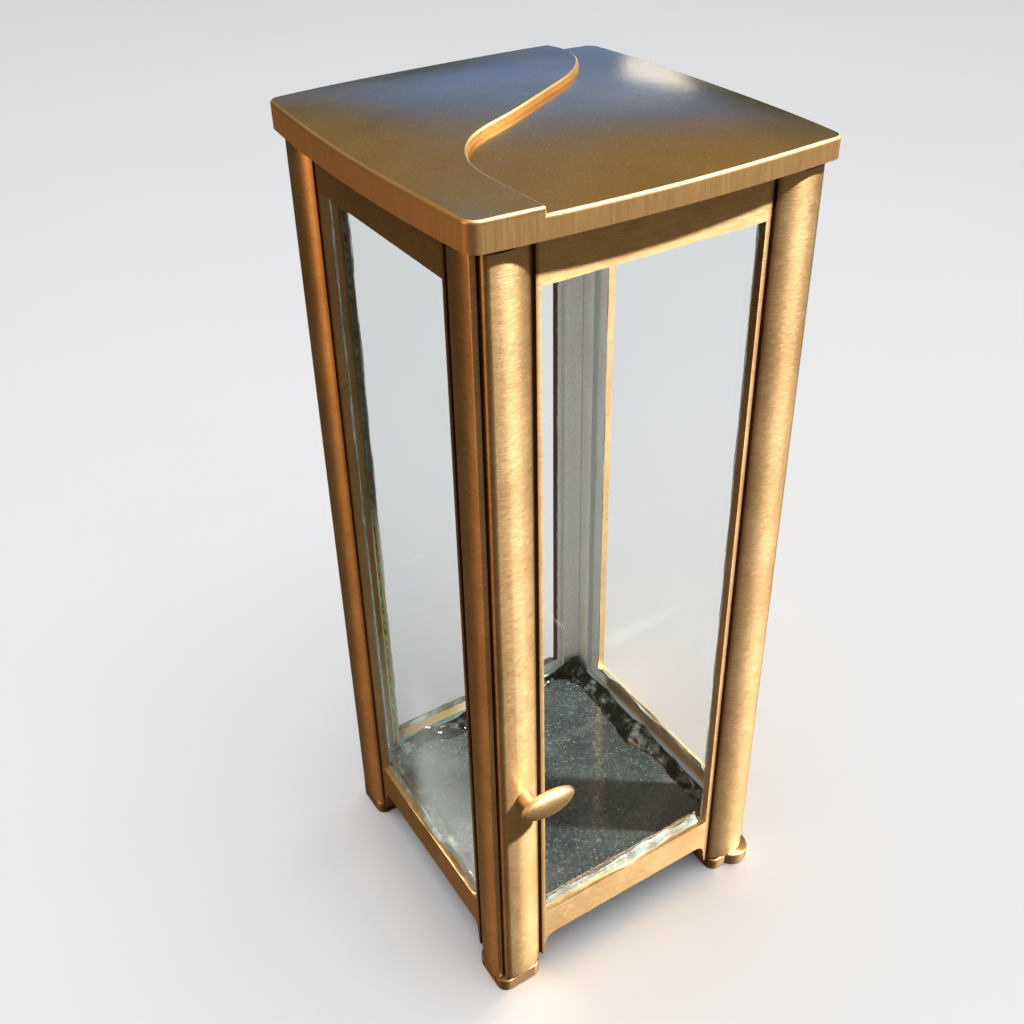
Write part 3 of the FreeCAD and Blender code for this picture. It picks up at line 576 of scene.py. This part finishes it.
def toward(azimuth, elevation):
    """A direction, by its azimuth from the door's normal towards +X, and its elevation."""
    angle, rise = math.radians(azimuth), math.radians(elevation)
    return Vector((math.sin(angle) * math.cos(rise), -math.cos(angle) * math.cos(rise), math.sin(rise)))


def soft_box(name, azimuth, elevation, distance, size, power, tint, target=(0, 0, 0.18)):
    """A rectangular soft light that faces the lantern."""
    light = bpy.data.lights.new(name, "AREA")
    light.shape = "RECTANGLE"
    light.size, light.size_y = size
    light.energy = power
    light.color = tint
    away = toward(azimuth, elevation)
    lamp = link(bpy.data.objects.new(name, light))
    lamp.location = Vector(target) + away * distance
    lamp.rotation_euler = aimed(away)
    return lamp


def all_but(thing):
    """A collection that keeps a light off one thing."""
    group = bpy.data.collections.new("all_but_" + thing.name)
    group.objects.link(thing)
    group.collection_objects[0].light_linking.link_state = "EXCLUDE"
    return group


def sun_light():
    """The key light, with a small sharp shadow."""
    light = bpy.data.lights.new("key_light", "SUN")
    light.energy = SUN_POWER
    light.angle = math.radians(SUN_SIZE)
    light.color = (1.0, 0.96, 0.90)
    lamp = link(bpy.data.objects.new("key_light", light))
    lamp.rotation_euler = aimed(toward(SUN_AZIMUTH, SUN_ELEVATION))
    return lamp


def sky():
    """An even pale surround, which the metal and glass mirror as a soft sky instead."""
    world = bpy.data.worlds.new("studio")
    bpy.context.scene.world = world
    world.use_nodes = True
    tree = world.node_tree
    tree.nodes.clear()

    def background(name):
        node = tree.nodes.new("ShaderNodeBackground")
        node.name = name
        return node

    even = background("even")
    even.inputs["Color"].default_value = (0.76, 0.77, 0.79, 1)
    even.inputs["Strength"].default_value = 1.06
    mirrored = background("mirrored")
    place = tree.nodes.new("ShaderNodeTexCoord")
    split = tree.nodes.new("ShaderNodeSeparateXYZ")
    ramp = tree.nodes.new("ShaderNodeValToRGB")
    stops = ramp.color_ramp.elements
    stops[0].position, stops[0].color = 0.10, SKY_LEVEL
    stops[1].position, stops[1].color = 0.50, SKY_HIGH
    tree.links.new(place.outputs["Generated"], split.inputs[0])
    tree.links.new(split.outputs["Z"], ramp.inputs[0])
    nearness = tree.nodes.new("ShaderNodeVectorMath")
    nearness.operation = "DOT_PRODUCT"
    nearness.inputs[1].default_value = toward(*BLUE_PLACE)
    patch = tree.nodes.new("ShaderNodeMapRange")
    for name, degrees in zip(("From Min", "From Max"), BLUE_REACH):
        patch.inputs[name].default_value = math.cos(math.radians(degrees))
    tint = tree.nodes.new("ShaderNodeMix")
    tint.data_type = "RGBA"
    tint.inputs["B"].default_value = BLUE
    tree.links.new(place.outputs["Generated"], nearness.inputs[0])
    tree.links.new(nearness.outputs["Value"], patch.inputs["Value"])
    tree.links.new(patch.outputs["Result"], tint.inputs["Factor"])
    tree.links.new(ramp.outputs["Color"], tint.inputs["A"])
    tree.links.new(tint.outputs["Result"], mirrored.inputs["Color"])
    choose = tree.nodes.new("ShaderNodeMixShader")
    ray = tree.nodes.new("ShaderNodeLightPath")
    output = tree.nodes.new("ShaderNodeOutputWorld")
    tree.links.new(ray.outputs["Is Glossy Ray"], choose.inputs[0])
    tree.links.new(even.outputs[0], choose.inputs[1])
    tree.links.new(mirrored.outputs[0], choose.inputs[2])
    tree.links.new(choose.outputs[0], output.inputs["Surface"])


def studio():
    bpy.context.scene.view_settings.view_transform = "Standard"
    mesh = bpy.data.meshes.new("floor")
    half = 3.0
    mesh.from_pydata([(-half, -half, 0), (half, -half, 0), (half, half, 0), (-half, half, 0)], [], [(0, 1, 2, 3)])
    mesh.materials.append(pale_floor())
    floor = link(bpy.data.objects.new("floor", mesh))
    sky()
    sun = sun_light()
    soft_box("overhead", 0, 82, 2.0, (1.6, 1.6), 16, (1.0, 1.0, 1.0))
    warm = soft_box("left_fill", -100, 15, 1.2, (0.4, 0.9), 4.0, (1.0, 0.50, 0.20))
    gap = soft_box("sky_gap", 139.5, 4, 2.0, (0.16, 0.08), 0.16, (0.95, 1.0, 1.0), (0.05, 0.0, 0.36))
    for lamp in (sun, warm, gap):
        lamp.light_linking.receiver_collection = all_but(floor)


def camera():
    data = bpy.data.cameras.new("camera")
    data.sensor_width = 36
    data.lens = LENS_MM
    data.shift_x, data.shift_y = SHIFT
    data.clip_start = 0.01
    viewer = bpy.data.objects.new("camera", data)
    viewer.location = CAMERA_PLACE
    viewer.rotation_euler = Euler([math.radians(a) for a in CAMERA_TURN])
    bpy.context.scene.collection.objects.link(viewer)
    bpy.context.scene.camera = viewer


# ---------------------------------------------------------------- the lantern

def lantern():
    finishes = {"bronze_frame": frame_bronze(), "bronze_roof": roof_bronze(), "bronze_knob": knob_bronze(),
                "steel": steel(), "floor_plate": floor_plate()}
    for name, slot in node_slots().items():
        if slot in finishes:
            repaint(name, finishes[slot])
    pale = silicone("clear_silicone", colour(150, 160, 154), 0.90, (0.90, 0.94, 0.93, 1))
    # Painted shade: the floor bead's near-black tint and dark see-through colour stand in for the dark floor and
    # shade seen through clear sealant.
    wet = silicone("shade_dark_silicone", colour(10, 15, 14), 0.90, (0.22, 0.29, 0.27, 1))
    floor_bead(wet)
    clear = clear_glass()
    edge = glass_edge()
    for seed, wall in enumerate(WALL_TURN):
        body = "door" if wall == "door" else "lantern"
        pane(wall, body, clear, edge)
        window_bead(wall, body, pale, 20 * seed)


def node_slots():
    return {part["node"]: part["material_slot"] for part in frame["record"]["subparts"]}


camera()
studio()
lantern()
